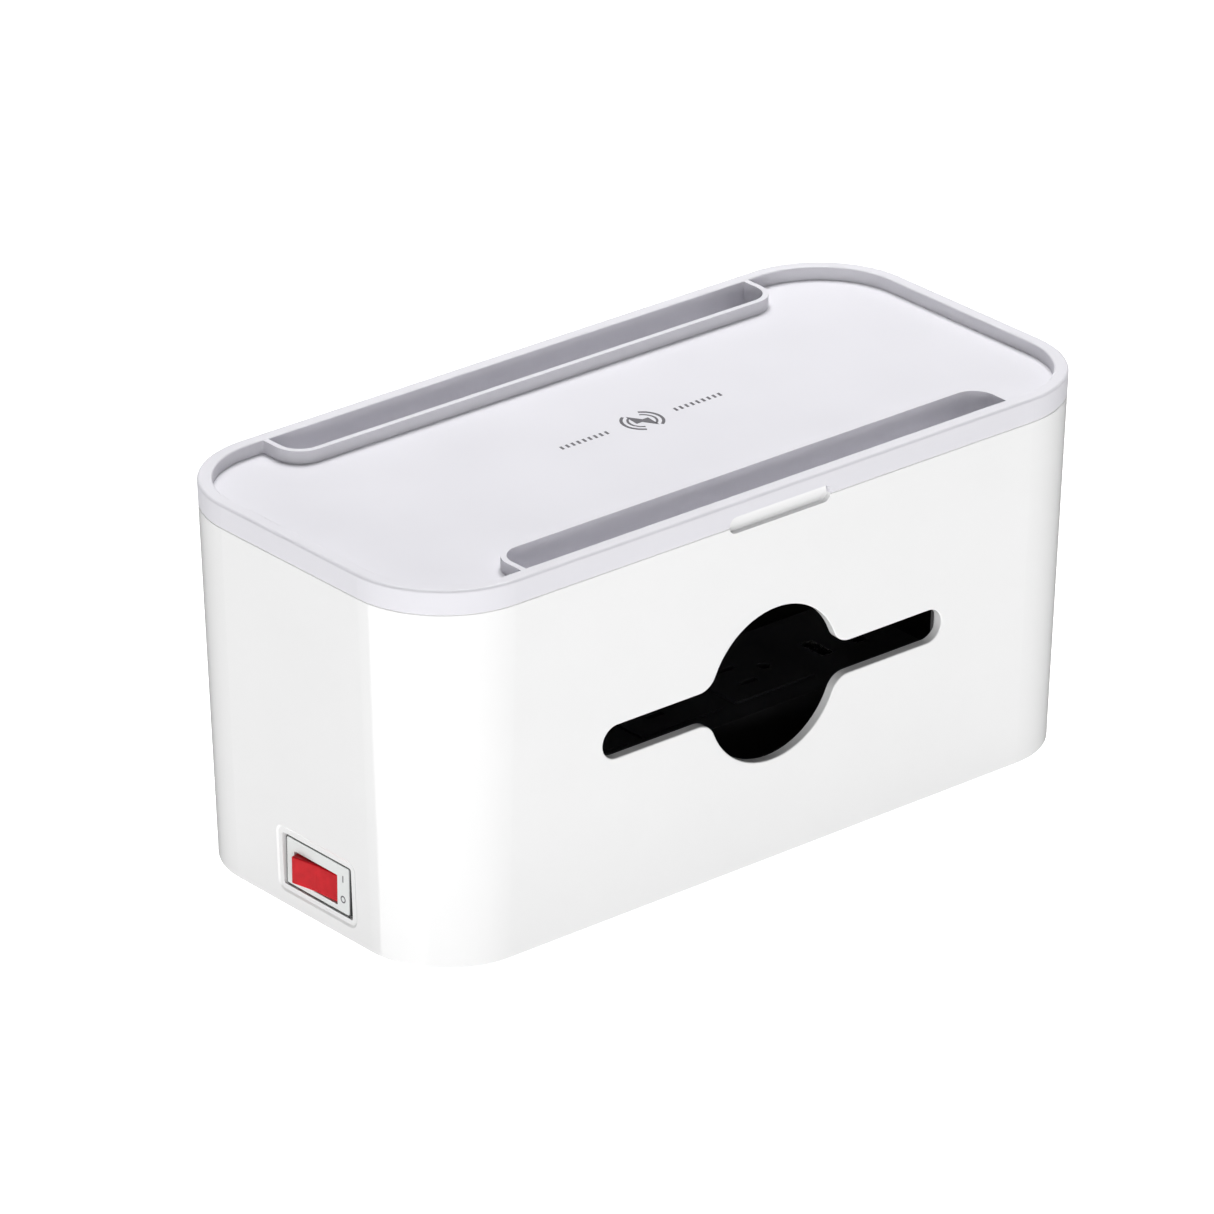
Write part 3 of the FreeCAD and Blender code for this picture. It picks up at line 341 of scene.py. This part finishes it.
def operation(tree, kind, *values):
    """A maths node fed by nodes' outputs or numbers."""
    made = tree.nodes.new("ShaderNodeMath")
    made.operation = kind
    for number, value in enumerate(values):
        if isinstance(value, (int, float)):
            made.inputs[number].default_value = value
        else:
            tree.links.new(value, made.inputs[number])
    return made.outputs[0]


def surroundings():
    """An even sky, and softboxes below the horizon that only the glossy walls mirror."""
    world = bpy.data.worlds.new("studio")
    bpy.context.scene.world = world
    world.use_nodes = True
    tree = world.node_tree
    place = tree.nodes.new("ShaderNodeTexCoord")
    parts = tree.nodes.new("ShaderNodeSeparateXYZ")
    link(tree, place, "Generated", parts, "Vector")
    turn = operation(tree, "ARCTAN2", parts.outputs["Y"], parts.outputs["X"])
    share = operation(tree, "MULTIPLY_ADD", turn, 1 / math.tau, 0.5)
    ramp = tree.nodes.new("ShaderNodeValToRGB")
    tree.links.new(share, ramp.inputs["Fac"])
    stops = ramp.color_ramp.elements
    for number, (degrees, level) in enumerate(MIRRORED):
        share_here = degrees / 360 + 0.5
        stop = stops[0] if number == 0 else stops.new(share_here)
        stop.position = share_here
        stop.color = (*(level / BRIGHTEST,) * 3, 1)
    stops.remove(stops[-1])
    above = operation(tree, "GREATER_THAN", parts.outputs["Z"], 0)
    below = operation(tree, "SUBTRACT", 1, above)
    sky = tree.nodes["Background"]
    sky.name = "sky"
    tree.links.new(above, sky.inputs["Color"])
    sky.inputs["Strength"].default_value = SKY
    low = tree.nodes.new("ShaderNodeBackground")
    low.name = "mirrored"
    tree.links.new(operation(tree, "MULTIPLY", below, ramp.outputs["Color"]), low.inputs["Color"])
    low.inputs["Strength"].default_value = BRIGHTEST
    both = tree.nodes.new("ShaderNodeAddShader")
    link(tree, sky, "Background", both, 0)
    link(tree, low, "Background", both, 1)
    link(tree, both, "Shader", tree.nodes["World Output"], "Surface")


def staged(name, form, colour, glow):
    """A floor or backdrop with its own soft glow, like a light table."""
    mesh = bpy.data.meshes.new(name)
    form.to_mesh(mesh)
    form.free()
    made = bpy.data.objects.new(name, mesh)
    bpy.context.scene.collection.objects.link(made)
    material, tree, surface = shader(name)
    slow = noise(tree, 3, 2)
    low = tuple(channel * 0.98 for channel in colour)
    link(tree, tint(tree, slow, low, colour), "Color", surface, "Base Color")
    surface.inputs["Roughness"].default_value = 0.9
    surface.inputs["Specular IOR Level"].default_value = 0.0
    surface.inputs["Emission Color"].default_value = (1, 1, 1, 1)
    surface.inputs["Emission Strength"].default_value = glow
    mesh.materials.append(material)
    return made


def studio():
    """A glowing floor, a backdrop that only the camera sees, the surroundings and two softboxes."""
    reach = 9
    form = bmesh.new()
    bmesh.ops.create_circle(form, cap_ends=True, segments=96, radius=reach)
    floor = staged("floor", form, (0.35, 0.35, 0.35), FLOOR_GLOW)
    floor.visible_glossy = False
    form = bmesh.new()
    bmesh.ops.create_cone(form, segments=96, radius1=reach, radius2=reach, depth=reach)
    bmesh.ops.translate(form, verts=form.verts, vec=(0, 0, reach / 2))
    bmesh.ops.reverse_faces(form, faces=form.faces)
    backdrop = staged("backdrop", form, (0.94, 0.94, 0.94), 1.0)
    backdrop.visible_diffuse = False
    backdrop.visible_glossy = False
    backdrop.visible_transmission = False
    backdrop.visible_shadow = False
    surroundings()
    for name, (place, target, width, height, power) in SOFTBOXES.items():
        light = bpy.data.lights.new(name, "AREA")
        light.shape = "RECTANGLE"
        light.size = width
        light.size_y = height
        light.energy = power
        softbox = bpy.data.objects.new(name, light)
        softbox.location = place
        softbox.rotation_euler = (Vector(target) - Vector(place)).to_track_quat("-Z", "Y").to_euler()
        softbox.visible_camera = False
        bpy.context.scene.collection.objects.link(softbox)


def camera():
    """A long lens from the front left, a little above the lid."""
    azimuth = math.radians(40.08)
    elevation = math.radians(25.04)
    aim = Vector((-0.0088, 0.0074, 0.0752))
    back = Vector((-math.sin(azimuth) * math.cos(elevation), -math.cos(azimuth) * math.cos(elevation),
                   math.sin(elevation)))
    lens = bpy.data.cameras.new("camera")
    lens.sensor_width = 36
    lens.lens = 251.8
    made = bpy.data.objects.new("camera", lens)
    made.location = aim + back * 3.0774
    made.rotation_euler = (-back).to_track_quat("-Z", "Y").to_euler()
    bpy.context.scene.collection.objects.link(made)
    bpy.context.scene.camera = made


studio()
camera()
bpy.context.scene.view_settings.view_transform = "Standard"
